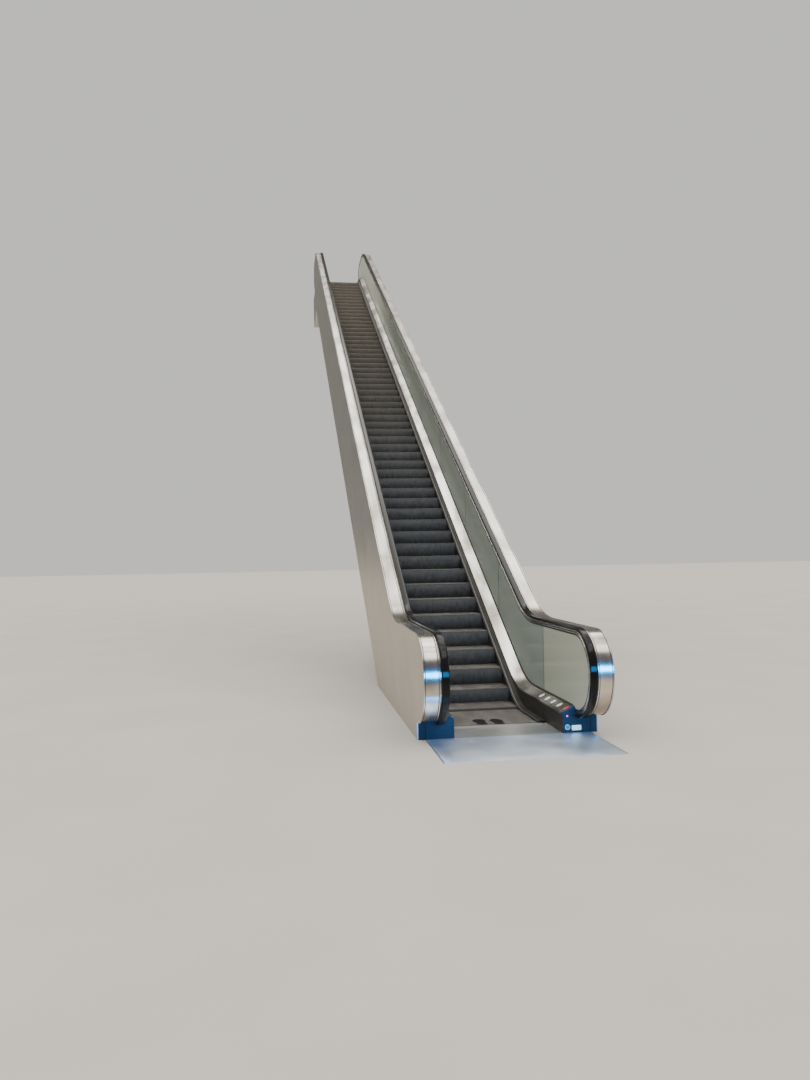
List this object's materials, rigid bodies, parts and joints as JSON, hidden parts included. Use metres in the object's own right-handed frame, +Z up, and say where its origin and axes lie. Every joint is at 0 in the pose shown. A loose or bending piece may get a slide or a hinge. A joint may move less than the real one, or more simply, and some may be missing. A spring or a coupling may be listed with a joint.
{
  "type": "escalator",
  "caption": "Public escalator rising one storey hall at 30 degrees: newels, glazed balustrades, moving handrails, cleated steps, landing plates and closed truss casing",
  "frame": {"origin": "on the underside of the lower landing frame, below the middle of the lower comb line", "axes": "+X across the steps to the right of a rider going up, +Y along the incline in plan, +Z up"},
  "size_m": [1.88, 24.7488, 12.4725],
  "materials": {
    "frame_steel": "satin grey primer",
    "floor_plate": "brushed, trodden",
    "comb_plate": "brushed, trodden",
    "step": "die cast, charcoal paint worn at the cleats",
    "skirt": "low friction black coating",
    "brush": "black bristle",
    "stainless": "brushed along its length",
    "balustrade_glass": "back coated grey green glass, nearly opaque",
    "guide_steel": "bright drawn",
    "handrail": "smooth black",
    "base_cover": "navy, semi-gloss",
    "inlet": "matt black",
    "casing": "satin grey panels"
  },
  "bodies": {
    "root": {"landing_frame_lower": "frame_steel", "floor_plate_lower": "floor_plate", "comb_plate_lower": "comb_plate", "landing_frame_upper": "frame_steel", "floor_plate_upper": "floor_plate", "comb_plate_upper": "comb_plate", "steps_lower": "step", "steps_incline_1": "step", "steps_incline_2": "step", "steps_incline_3": "step", "steps_upper": "step", "tracks_incline": "frame_steel", "tracks_upper": "frame_steel", "skirts_lower": "skirt", "skirts_incline": "skirt", "skirts_upper": "skirt", "skirt_brushes": "brush", "inner_decks_lower": "stainless", "inner_decks_incline": "stainless", "inner_decks_upper": "stainless", "glass_lower": "balustrade_glass", "glass_incline": "balustrade_glass", "glass_upper": "balustrade_glass", "handrail_guides_lower": "guide_steel", "handrail_guides_incline": "guide_steel", "handrail_guides_upper": "guide_steel", "handrails_lower": "handrail", "handrails_incline": "handrail", "handrails_upper": "handrail", "outer_decks_lower": "stainless", "outer_decks_incline": "stainless", "outer_decks_upper": "stainless", "base_covers_lower": "base_cover", "base_covers_upper": "base_cover", "handrail_inlets": "inlet", "side_casings_lower": "casing", "side_casings_incline": "casing", "side_casings_upper": "casing", "soffit_incline": "casing", "soffit_upper": "casing", "end_plate_upper": "casing", "bearing_angle_upper": "frame_steel"}
  },
  "joints": []
}
